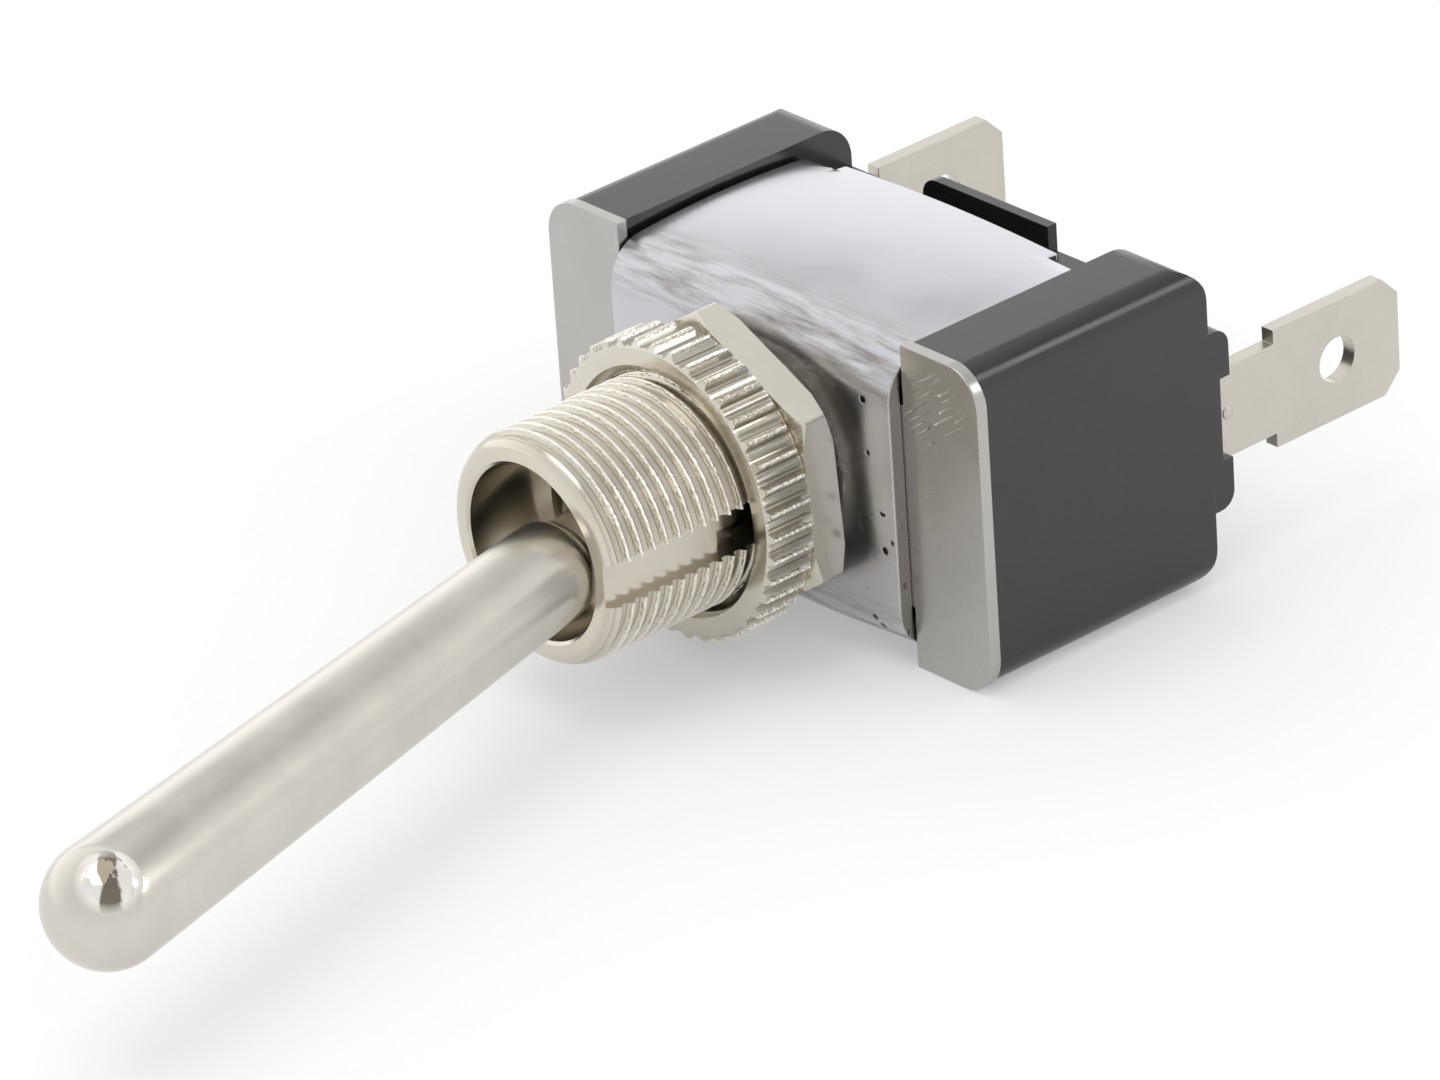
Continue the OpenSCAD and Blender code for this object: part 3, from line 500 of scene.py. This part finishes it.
def makeBushing():
    d = bushing
    front, outer = d["mouth"], d["crest"] + d["trim"]
    # the outer limit: rounded off at the mouth, a small chamfer at the bracket
    limit = [(0, front)]
    for i in range(9):
        a = math.pi / 2 * i / 8
        limit.append((d["mouthEdge"] + (outer - d["mouthEdge"]) * math.sin(a),
                      front + d["mouthRun"] * (1 - math.cos(a))))
    limit += [(outer, -d["rearChamfer"]), (d["crest"] - d["rearChamfer"], 0), (0, 0)]
    bm = carve(makeThread(d), spinRound(limit, d["steps"]), "INTERSECT")
    shank = [(0, d["shankFront"]), (d["shankRadius"], d["shankFront"]), (d["shankRadius"], d["back"]),
             (d["lip"], d["back"]), (d["lip"] - d["lipRound"], d["lipBack"]), (0, d["lipBack"])]
    bm = carve(bm, spinRound(shank, d["steps"]), "UNION")
    # the bore's chamfer runs on at 45 degrees to 1 mm in front of the mouth
    flared = d["boreRadius"] + 1 + d["boreChamfer"]
    bore = [(0, front - 1), (flared, front - 1), (d["boreRadius"], front + d["boreChamfer"]),
            (d["boreRadius"], d["socketFront"]), (d["socketRadius"], d["socketFront"]),
            (d["socketRadius"], d["flareFront"]), (d["rearRadius"], 0.5), (d["rearRadius"], 3), (0, 3)]
    bm = carve(bm, spinRound(bore, 128))
    half, out = d["keyWidth"] / 2, d["outside"]
    groove, depth = d["pinGroove"], d["pinDepth"]
    slots = (((d["keyFloor"], front - 1, -half), (out, d["keyBack"], half)),
             ((d["holeFloor"], d["holeFront"], -half), (out, d["holeBack"], half - d["holeNarrow"])),
             ((d["stepFloor"], d["stepFront"], -half), (out, d["holeFront"] + 0.2, d["stepTop"])),
             ((-groove, d["pivotY"] - groove, -depth), (groove, 3, depth)))
    for low, high in slots:
        bm = carve(bm, boxBetween(low, high))
    # the sides of the keyway and the hole take the darker plate, painted shade in the recess
    for face in bm.faces:
        middle = face.calc_center_median()
        side = abs(face.normal.z) > 0.9 and abs(abs(middle.z) - half) < 0.1
        face.material_index = 1 if side and middle.x > 3 and middle.y < d["keyBack"] else 0
    finishPiece("bushing", bm, "housing", [bushingNickel, recessShadeNickel], ["bushing"], sharpAngle=24)


makeBushing()
print("bushing made")


# the ring nut with its knurled rim
ringNut = {"teeth": 39, "tip": 7.8, "turn": -0.7, "rootDepth": 0.45, "front": -5.87, "back": -2.9,
           "faceEdge": 7.3, "frontRun": 0.22, "backRun": 0.4, "hole": 5.99, "mouth": 0.45, "edge": 0.05}
# the hexagonal nut, chamfered at both faces
hexNut = {"acrossFlats": 14.3, "front": -2.9, "back": -1, "turn": 4, "faceEdge": 7.65, "chamfer": 30,
          "chamferRun": 0.45, "cornerRound": 0.18, "hole": 5.99, "mouth": 0.45, "edge": 0.12}


# the round hole of a nut, chamfered at both ends
def nutHole(d):
    front, back, wide = d["front"], d["back"], d["hole"] + d["mouth"] + 1
    return spinRound([(0, front - 1), (wide, front - 1), (d["hole"], front + d["mouth"]),
                      (d["hole"], back - d["mouth"]), (wide, back + 1), (0, back + 1)], 96)


def makeRingNut():
    d = ringNut
    front, back, tip = d["front"], d["back"], d["tip"]
    # a narrow crest, steep flanks and a wide root, slightly raised in its middle by the knurling tool
    depths = (0, 0.18, 0.62, 0.96, 1, 0.88, 0.82, 0.88, 1, 0.96, 0.62, 0.18)
    points = d["teeth"] * len(depths)
    bm = bmesh.new()
    bmesh.ops.create_circle(bm, cap_ends=True, radius=tip, segments=points)
    turnBy(bm, 90, "X")
    for vert in bm.verts:
        place = math.atan2(vert.co.z, vert.co.x) / (2 * math.pi) * points
        depth = depths[round(place) % len(depths)] * d["rootDepth"]
        vert.co *= (tip - depth) / tip
    turnBy(bm, -d["turn"], "Y")
    moveBy(bm, (0, front, 0))
    rim = bmesh.ops.extrude_face_region(bm, geom=bm.faces[:])
    moveBy(bm, (0, back - front, 0), vertsOf(rim["geom"]))
    limit = [(0, front), (d["faceEdge"], front), (tip, front + d["frontRun"]),
             (tip + 0.1, front + d["frontRun"] + 0.1), (tip + 0.1, back - d["backRun"] - 0.1),
             (tip, back - d["backRun"]), (d["faceEdge"], back), (0, back)]
    bm = carve(bm, spinRound(limit, 168), "INTERSECT")
    bm = carve(bm, nutHole(d))
    finishPiece("ringNut", bm, "housing", [ringNickel], ["knurled_nut"], d["edge"], sharpAngle=20)


def makeHexNut():
    d = hexNut
    front, back, run = d["front"], d["back"], d["chamferRun"]
    corner = d["acrossFlats"] / 2 / math.cos(math.pi / 6)
    bm = bmesh.new()
    bmesh.ops.create_cone(bm, cap_ends=True, segments=6, radius1=corner, radius2=corner, depth=back - front)
    turnBy(bm, 90, "X")
    turnBy(bm, -d["turn"], "Y")
    moveBy(bm, (0, (front + back) / 2, 0))
    roundEdges(bm, 1, d["cornerRound"], 3)
    wide = d["faceEdge"] + run / math.tan(math.radians(d["chamfer"]))
    limit = [(0, front), (d["faceEdge"], front), (wide, front + run), (wide, back - run),
             (d["faceEdge"], back), (0, back)]
    bm = carve(bm, spinRound(limit, 192), "INTERSECT")
    bm = carve(bm, nutHole(d))
    finishPiece("hexNut", bm, "housing", [nutNickel], ["hex_nut"], d["edge"])


makeRingNut()
makeHexNut()
print("nuts made")


# the U-shaped sheet: its wings bow along Y and are crowned along X
bracket = {"halfWidth": 9.9, "top": 8.4, "depth": 13.5, "sheet": 0.8, "flatEnd": 5.97,
           "flatSteps": (0, 3, 4.5), "bowRadius": 60, "bowMid": 7.5, "bendAt": 2.2, "crownRadius": 120,
           "cornerIn": 7.5, "cornerGap": 0.25, "cornerStart": 12.8, "cornerDrop": 0.55, "bendSteps": 12,
           "wingSteps": 14, "crossSteps": 8, "hole": 5.42, "edge": 0.07}
# the plate behind it: two round-cornered ears, and a window at top and bottom for the wings
facePlate = {"length": 30.5, "height": 17.2, "corner": 2, "front": 0.8, "back": 1.45, "windowHalf": 10,
             "windowTop": 5.82, "crownRadius": 120, "hole": 5.42, "edge": 0.28}


# the upper half as a bent surface without thickness
def bendSheet(d):
    def bow(y):
        return d["top"] - d["bowRadius"] + math.sqrt(d["bowRadius"] ** 2 - (y - d["bowMid"]) ** 2)

    bend = bow(d["bendAt"]) - d["flatEnd"]
    line = [(0, 0, z) for z in (*d["flatSteps"], d["flatEnd"])]
    for i in range(1, d["bendSteps"] + 1):
        a = math.pi / 2 * i / d["bendSteps"]
        line.append((0, bend - bend * math.cos(a), d["flatEnd"] + bend * math.sin(a)))
    wing = [bend + (d["cornerStart"] - bend) * i / d["wingSteps"] for i in range(1, d["wingSteps"] + 1)]
    line += [(0, y, bow(y)) for y in wing + [d["depth"]]]
    inner, gap, half, steps = d["cornerIn"], d["cornerGap"], d["halfWidth"], d["crossSteps"]
    stations = [-half, -inner - gap] + [inner * i / steps for i in range(-steps, steps + 1)]
    stations += [inner + gap, half]
    bm = drawLine(line)
    moveBy(bm, (stations[0], 0, 0))
    edges = bm.edges[:]
    for a, b in zip(stations, stations[1:]):
        step = bmesh.ops.extrude_edge_only(bm, edges=edges)["geom"]
        moveBy(bm, (b - a, 0, 0), vertsOf(step))
        edges = [g for g in step if isinstance(g, bmesh.types.BMEdge)]
    # a nick on each side lets the rear corners be pressed down over the base
    nick = [f for f in bm.faces if f.calc_center_median().y > d["cornerStart"]
            and inner < abs(f.calc_center_median().x) < inner + gap]
    bmesh.ops.delete(bm, geom=nick, context="FACES")
    for vert in bm.verts:
        if vert.co.y > d["cornerStart"] + 0.3 and abs(vert.co.x) > inner + gap / 2:
            vert.co.z -= d["cornerDrop"]
        # the crown fades out over the lowest 3 mm
        vert.co.z -= vert.co.x ** 2 / (2 * d["crownRadius"]) * min(1, vert.co.z / 3)
    return bm


def makeBracket():
    d = bracket
    bm = bendSheet(d)
    bmesh.ops.recalc_face_normals(bm, faces=bm.faces)
    if sum(f.normal.y for f in bm.faces if abs(f.calc_center_median().y) < 0.01) > 0:
        bmesh.ops.reverse_faces(bm, faces=bm.faces)
    bmesh.ops.solidify(bm, geom=bm.faces[:], thickness=d["sheet"])
    bmesh.ops.mirror(bm, geom=bm.verts[:] + bm.edges[:] + bm.faces[:], matrix=Matrix.Identity(4),
                     merge_dist=0.001, axis="Z")
    inside = [f for f in bm.faces if abs(f.normal.z) > 0.9 and abs(f.calc_center_median().z) < 0.01]
    bmesh.ops.delete(bm, geom=inside, context="FACES_ONLY")
    bm = carve(bm, spinRound([(0, -1), (d["hole"], -1), (d["hole"], 2), (0, 2)], 96))
    finishPiece("bracket", bm, "housing", [bracketZinc], ["frame_bracket"], d["edge"],
                sharpAngle=40)


def makeFacePlate():
    d = facePlate
    longHalf, highHalf, radius = d["length"] / 2, d["height"] / 2, d["crownRadius"]
    bm = boxBetween((-longHalf, d["front"], -highHalf), (longHalf, d["back"], highHalf))
    roundEdges(bm, 1, d["corner"], 10)
    for side in (1, -1):
        window = boxBetween((-d["windowHalf"], d["front"] - 1, 0),
                            (d["windowHalf"], d["back"] + 1, d["height"]))
        # the window's inner edge follows the wing's crown
        crown = spinRound([(0, d["front"] - 2), (radius, d["front"] - 2), (radius, d["back"] + 2),
                           (0, d["back"] + 2)], 720)
        moveBy(crown, (0, 0, d["windowTop"] - radius))
        window = carve(window, crown)
        if side < 0:
            bmesh.ops.scale(window, vec=(1, 1, -1), verts=window.verts)
        bm = carve(bm, window)
    bm = carve(bm, spinRound([(0, 0), (d["hole"], 0), (d["hole"], 3), (0, 3)], 96))
    finishPiece("facePlate", bm, "housing", [plateZinc], ["face_plate"], d["edge"],
                sharpAngle=40, segments=4)


makeBracket()
makeFacePlate()
print("bracket and face plate made")


# the moulded body, with an end block and a terminal collar at each side; cavity gives half length, depth
# and half height of the two hollows
base = {"length": 29.5, "height": 17, "front": 1.45, "back": 16.3, "blockIn": 10.2, "longEdge": 1.3,
        "rearCorner": 1.9, "coreHalf": 10.7, "coreHeight": 13.2, "shoulder": 13.1, "rearHeight": 12,
        "ribWidth": 8.9, "ribHeight": 15, "ribDepth": 0.6, "ribCorner": 1, "collarIn": 2.3,
        "collarRise": 1.3, "collarHeight": 9.6, "collarRound": 0.9, "notch": 0.65, "notchHalf": 2.2,
        "cavity": ((12.5, 12, 3.8), (11.5, 2.65, 5.8)), "edge": 0.12}


# the block at +X with its notched collar
def makeBlock(d):
    longHalf, highHalf, back = d["length"] / 2, d["height"] / 2, d["back"]
    block = boxBetween((d["blockIn"], d["front"], -highHalf), (longHalf, back, highHalf))
    roundEdges(block, 1, d["longEdge"], 8, lambda place: place.x > longHalf - 0.1)
    limit = boxBetween((d["blockIn"] - 1, d["front"] - 1, -highHalf), (longHalf + 1, back, highHalf))
    roundEdges(limit, 0, d["rearCorner"], 10, lambda place: place.y > 5)
    block = carve(block, limit, "INTERSECT")
    collar = boxBetween((longHalf - d["collarIn"], back - 1, -d["collarHeight"] / 2),
                        (longHalf, back + d["collarRise"], d["collarHeight"] / 2))
    roundEdges(collar, 0, d["collarRound"], 6, lambda place: place.y > back)
    notch = boxBetween((longHalf - d["collarIn"] - 1, back + d["collarRise"] - d["notch"], -d["notchHalf"]),
                       (longHalf + 1, back + 3, d["notchHalf"]))
    return carve(block, carve(collar, notch), "UNION")


def makeBase():
    d = base
    front, back, across = d["front"], d["back"], d["coreHalf"]
    core = boxBetween((-across, front, -d["coreHeight"] / 2), (across, d["shoulder"], d["coreHeight"] / 2))
    rear = boxBetween((-across, front + 1, -d["rearHeight"] / 2), (across, back, d["rearHeight"] / 2))
    core = carve(core, rear, "UNION")
    rib = boxBetween((-d["ribWidth"] / 2, back - d["ribDepth"], -d["ribHeight"] / 2),
                     (d["ribWidth"] / 2, back, d["ribHeight"] / 2))
    roundEdges(rib, 1, d["ribCorner"], 5, lambda place: place.x < 0)
    bm = carve(core, rib, "UNION")
    for side in (1, -1):
        block = makeBlock(d)
        if side < 0:
            bmesh.ops.scale(block, vec=(-1, 1, 1), verts=block.verts)
        bm = carve(bm, block, "UNION")
    for x, y, z in d["cavity"]:
        bm = carve(bm, boxBetween((-x, 0, -z), (x, y, z)))
    finishPiece("base", bm, "housing", [basePhenolic], ["base_housing"], d["edge"],
                sharpAngle=40)


makeBase()
print("base made")


# a stamped tab with the strip that leads to it inside the base
tab = {"middle": 13.95, "thickness": 0.8, "neckHalf": 2.4, "wideHalf": 3.15, "start": 11.2, "neckEnd": 20.95,
       "end": 29.4, "corner": 1.05, "hole": 1.2, "holeY": 25.175, "stripBack": 12, "edge": 0.09,
       "dimple": 0.36, "dimpleRise": 0.16, "dimpleY": 17.7}


def makeTab(name, side, stripStart, cadNode):
    d = tab
    neck = d["neckHalf"]
    low, high = d["middle"] - d["thickness"] / 2, d["middle"] + d["thickness"] / 2
    bm = boxBetween((low, d["neckEnd"], -d["wideHalf"]), (high, d["end"], d["wideHalf"]))
    roundEdges(bm, 0, d["corner"], 1, lambda place: place.y > d["end"] - 0.1)
    bm = carve(bm, boxBetween((low, d["start"], -neck), (high, d["neckEnd"] + 1, neck)), "UNION")
    hole = spinRound([(0, -2), (d["hole"], -2), (d["hole"], 2), (0, 2)], 48)
    turnBy(hole, 90, "Z")
    moveBy(hole, (d["middle"], d["holeY"], 0))
    bm = carve(bm, hole)
    bm = carve(bm, boxBetween((stripStart, d["start"], -neck), (high, d["stripBack"], neck)), "UNION")
    # the punched dimple that locks the tab in its slot, a low dome rooted 0.2 mm deep
    dome = ((0, -0.2), (d["dimple"], -0.2), (d["dimple"] * 0.9, 0.06), (d["dimple"] * 0.5, d["dimpleRise"]),
            (0, d["dimpleRise"] + 0.02))
    dimple = spinRound([(r, high + y) for r, y in dome], 32)
    turnBy(dimple, -90, "Z")
    moveBy(dimple, (0, d["dimpleY"], 0))
    bm = carve(bm, dimple, "UNION")
    if side < 0:
        bmesh.ops.scale(bm, vec=(-1, 1, 1), verts=bm.verts)
    finishPiece(name, bm, "housing", [tabTin], [cadNode], d["edge"], sharpAngle=40)


makeTab("loadTab", 1, 6.4, "load_terminal")
makeTab("commonTab", -1, -1.6, "common_terminal")
print("terminals made")


# the inner nodes keep their CAD mesh: bright ground or drawn steel, milky nylon, dull brown fibre,
# warm brass and copper, and silver that is nearly white
pinSteel = platedMetal("groundSteelPin", "#B9B7B3", 0.2)
springSteel = platedMetal("springSteelWire", "#A6A4A0", 0.28)
nylon = moulded("whiteNylon", "#E4DFCF", 0.4, 1.53)
fibre = moulded("vulcanisedFibre", "#5A3A2E", 0.6, 1.5)
rivetBrass = platedMetal("rivetBrass", "#C9AC72", 0.28)
washerSteel = platedMetal("washerSteel", "#BDBBB6", 0.3)
rockerCopper = platedMetal("rockerCopper", "#C98F6C", 0.3)
contactSilver = platedMetal("contactSilver", "#E2E0DB", 0.25)
innerFinish = {"pivot_pin": pinSteel, "actuator_spring": springSteel, "plunger": nylon,
               "insulating_plate": fibre, "common_rivet": rivetBrass, "load_rivet": rivetBrass,
               "common_washer": washerSteel, "load_washer": washerSteel, "contact_rocker": rockerCopper,
               "moving_contact": contactSilver, "fixed_contact": contactSilver}
for node, material in innerFinish.items():
    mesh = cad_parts[node].data
    mesh.materials.clear()
    mesh.materials.append(material)


# the paper the switch lies on and the white tent round it; directions point away from the switch
studio = {"floor": -8.62, "floorReach": 3, "paperGlow": 0.3, "horizon": 1.0, "zenith": 0.85, "window": 1.5,
          "windowSide": (-0.85, 0.4, 0), "gapAcross": (0, 0.704, -0.71), "gapHalf": (0.02, 0.1),
          "gapShare": 0.45, "gapFrom": 0.2, "gapFull": 0.5, "horizonTo": 0.1, "zenithFrom": 0.8}


# matt white paper; it glows a little to the camera and in reflections, so that it reads as pure white
def makePaper():
    material, tree, shader = startMaterial("whitePaper")
    shader.inputs["Base Color"].default_value = sRgb("#F4F4F4")
    shader.inputs["Roughness"].default_value = 0.9
    shader.inputs["Specular IOR Level"].default_value = 0.1
    rays = addNode(tree, "LightPath").outputs
    seen = rays["Is Camera Ray"]
    for name in ("Is Glossy Ray", "Is Transmission Ray"):
        seen = addNode(tree, "Math", (seen, rays[name]), operation="MAXIMUM").outputs[0]
    share = addNode(tree, "Math", (seen, studio["paperGlow"]), operation="MULTIPLY").outputs[0]
    glow = addNode(tree, "Emission", {"Color": (1, 1, 1, 1), "Strength": 1})
    mix = addNode(tree, "MixShader", (share, shader.outputs[0], glow.outputs[0]))
    tree.links.new(mix.outputs[0], tree.nodes["Material Output"].inputs["Surface"])
    return material


def makeFloor():
    mesh = bpy.data.meshes.new("floor")
    bm = bmesh.new()
    bmesh.ops.create_grid(bm, x_segments=1, y_segments=1, size=studio["floorReach"])
    moveBy(bm, (0, 0, studio["floor"] * mm))
    bm.to_mesh(mesh)
    bm.free()
    mesh.materials.append(makePaper())
    floor = bpy.data.objects.new("floor", mesh)
    scene.collection.objects.link(floor)


# the tent is brightest at the horizon, and brighter still on its window side
def makeTent():
    world = bpy.data.worlds.new("studio")
    scene.world = world
    world.use_nodes = True
    tree = world.node_tree
    tree.nodes.clear()
    d = studio
    direction = addNode(tree, "TexCoord").outputs["Generated"]
    axes = addNode(tree, "SeparateXYZ", (direction,)).outputs
    height = (axes["Z"], d["horizonTo"], d["zenithFrom"], d["horizon"], d["zenith"])
    height = addNode(tree, "MapRange", height).outputs[0]
    aside = addNode(tree, "VectorMath", (direction, d["windowSide"]), operation="DOT_PRODUCT")
    aside = aside.outputs["Value"]
    window = addNode(tree, "MapRange", (aside, 0, 0.9, 1, d["window"])).outputs[0]
    # the gap that the camera looks through, a soft dark band from side to side over the back
    across = addNode(tree, "VectorMath", (direction, d["gapAcross"]), operation="DOT_PRODUCT")
    across = addNode(tree, "Math", (across.outputs["Value"],), operation="ABSOLUTE").outputs[0]
    gap = addNode(tree, "MapRange", (across, *d["gapHalf"], d["gapShare"], 1)).outputs[0]
    behind = addNode(tree, "MapRange", (axes["Y"], d["gapFrom"], d["gapFull"])).outputs[0]
    gap = addNode(tree, "Mix", {"Factor": behind, 2: 1.0, 3: gap}).outputs[0]
    strength = height
    for share in (window, gap):
        strength = addNode(tree, "Math", (strength, share), operation="MULTIPLY").outputs[0]
    tent = addNode(tree, "Background", {"Color": (1, 1, 1, 1), "Strength": strength})
    addNode(tree, "OutputWorld", {"Surface": tent.outputs[0]})


# a softbox of the given direction, distance, size and brightness, aimed at the switch
def addSoftbox(name, direction, distance, size, brightness):
    data = bpy.data.lights.new(name, "AREA")
    data.shape = "RECTANGLE"
    data.size, data.size_y = size
    data.energy = brightness * 4 * size[0] * size[1]
    lamp = bpy.data.objects.new(name, data)
    scene.collection.objects.link(lamp)
    lamp.location = Vector(direction).normalized() * distance
    lamp.rotation_euler = (-lamp.location).to_track_quat("-Z", "Y").to_euler()


makeFloor()
makeTent()
addSoftbox("backSoftbox", (0.62, 0.59, 0.5), 0.6, (0.2, 0.16), 2.2)
addSoftbox("overheadSoftbox", (-0.02, -0.25, 0.97), 0.5, (0.34, 0.34), 1.2)
scene.view_settings.view_transform = "Standard"
print("stage set")
